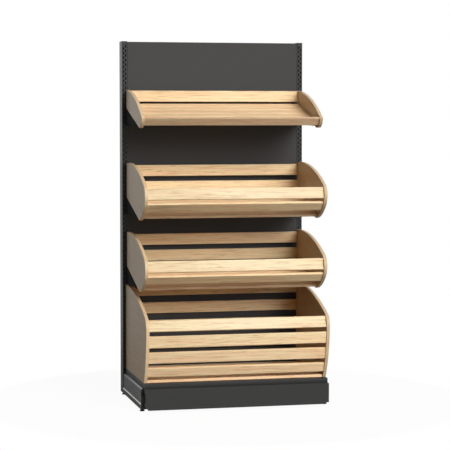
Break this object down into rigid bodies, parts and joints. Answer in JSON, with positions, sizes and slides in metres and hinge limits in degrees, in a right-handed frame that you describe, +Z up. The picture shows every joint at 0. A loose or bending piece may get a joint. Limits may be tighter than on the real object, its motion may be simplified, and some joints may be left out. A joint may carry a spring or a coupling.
{
  "type": "bakery bread rack",
  "caption": "Wall-side bakery rack: slotted steel uprights and back panels, deck and kick plate, with a tilted slatted wooden tray, curved slatted baskets and a deep slatted floor basket.",
  "frame": {"origin": "on the floor, at the middle of the unit's width and depth", "axes": "+X to the customer's right, the customer stands at -Y and the wall is at +Y, +Z up"},
  "size_m": [1.03, 0.703, 1.966],
  "materials": {
    "powder_coat": "fine matt anthracite powder coat",
    "black_plastic": "moulded, slightly grained",
    "zinc_steel": "bright zinc plate",
    "beech": "clear satin varnish on pale straight-grained boards"
  },
  "bodies": {
    "frame": {"upright_left": "powder_coat", "upright_right": "powder_coat", "back_panel_1": "powder_coat", "back_panel_2": "powder_coat", "back_panel_3": "powder_coat", "back_panel_4": "powder_coat", "back_panel_5": "powder_coat", "top_rail": "powder_coat", "bottom_rail": "powder_coat", "base_leg_left": "powder_coat", "base_leg_right": "powder_coat", "base_shoe_left": "powder_coat", "base_shoe_right": "powder_coat", "leg_front_plates": "powder_coat", "leg_hook_plates": "powder_coat", "deck": "powder_coat", "deck_ribs": "powder_coat", "upright_caps": "black_plastic", "rail_screws": "zinc_steel", "foot_nuts": "zinc_steel", "upright_foot_plugs": "zinc_steel"},
    "foot_front_left": {"foot_pad_front_left": "black_plastic", "foot_spindle_front_left": "zinc_steel"},
    "foot_front_right": {"foot_pad_front_right": "black_plastic", "foot_spindle_front_right": "zinc_steel"},
    "foot_rear_left": {"foot_pad_rear_left": "black_plastic", "foot_spindle_rear_left": "zinc_steel"},
    "foot_rear_right": {"foot_pad_rear_right": "black_plastic", "foot_spindle_rear_right": "zinc_steel"},
    "kick_plate": {"kick_plate": "powder_coat", "kick_plate_clips": "black_plastic"},
    "tray_brackets": {"tray_bracket_left": "powder_coat", "tray_bracket_right": "powder_coat"},
    "tray": {"tray_side_left": "beech", "tray_side_right": "beech", "tray_front_board": "beech", "tray_back_board": "beech", "tray_floor_slats": "beech"},
    "upper_basket_brackets": {"upper_basket_bracket_left": "powder_coat", "upper_basket_bracket_right": "powder_coat"},
    "upper_basket": {"upper_basket_side_left": "beech", "upper_basket_side_right": "beech", "upper_basket_front_slats": "beech", "upper_basket_back_boards": "beech", "upper_basket_floor_slats": "beech"},
    "lower_basket_brackets": {"lower_basket_bracket_left": "powder_coat", "lower_basket_bracket_right": "powder_coat"},
    "lower_basket": {"lower_basket_side_left": "beech", "lower_basket_side_right": "beech", "lower_basket_front_slats": "beech", "lower_basket_back_boards": "beech", "lower_basket_floor_slats": "beech"},
    "bottom_basket": {"bottom_basket_side_left": "beech", "bottom_basket_side_right": "beech", "bottom_basket_front_slats": "beech", "bottom_basket_back_boards": "beech", "bottom_basket_floor_slats": "beech"}
  },
  "joints": [
    {"name": "foot_front_left_level", "type": "slide", "parent": "frame", "child": "foot_front_left", "axis": [0, 0, -1], "range_m": [0, 0.02]},
    {"name": "foot_front_right_level", "type": "slide", "parent": "frame", "child": "foot_front_right", "axis": [0, 0, -1], "range_m": [0, 0.02]},
    {"name": "foot_rear_left_level", "type": "slide", "parent": "frame", "child": "foot_rear_left", "axis": [0, 0, -1], "range_m": [0, 0.02]},
    {"name": "foot_rear_right_level", "type": "slide", "parent": "frame", "child": "foot_rear_right", "axis": [0, 0, -1], "range_m": [0, 0.02]},
    {"name": "kick_plate_lift", "type": "slide", "parent": "frame", "child": "kick_plate", "axis": [0, 0, 1], "range_m": [0, 0.007]},
    {"name": "tray_bracket_lift", "type": "slide", "parent": "frame", "child": "tray_brackets", "axis": [0, 0, 1], "range_m": [0, 0.007]},
    {"name": "tray_lift_off", "type": "slide", "parent": "tray_brackets", "child": "tray", "axis": [0, -0.2588, 0.9659], "range_m": [0, 0.06]},
    {"name": "upper_basket_bracket_lift", "type": "slide", "parent": "frame", "child": "upper_basket_brackets", "axis": [0, 0, 1], "range_m": [0, 0.007]},
    {"name": "upper_basket_lift_off", "type": "slide", "parent": "upper_basket_brackets", "child": "upper_basket", "axis": [0, -0.2588, 0.9659], "range_m": [0, 0.06]},
    {"name": "lower_basket_bracket_lift", "type": "slide", "parent": "frame", "child": "lower_basket_brackets", "axis": [0, 0, 1], "range_m": [0, 0.007]},
    {"name": "lower_basket_lift_off", "type": "slide", "parent": "lower_basket_brackets", "child": "lower_basket", "axis": [0, -0.2588, 0.9659], "range_m": [0, 0.06]},
    {"name": "bottom_basket_pull", "type": "slide", "parent": "frame", "child": "bottom_basket", "axis": [0, -1, 0], "range_m": [0, 0.2]}
  ]
}
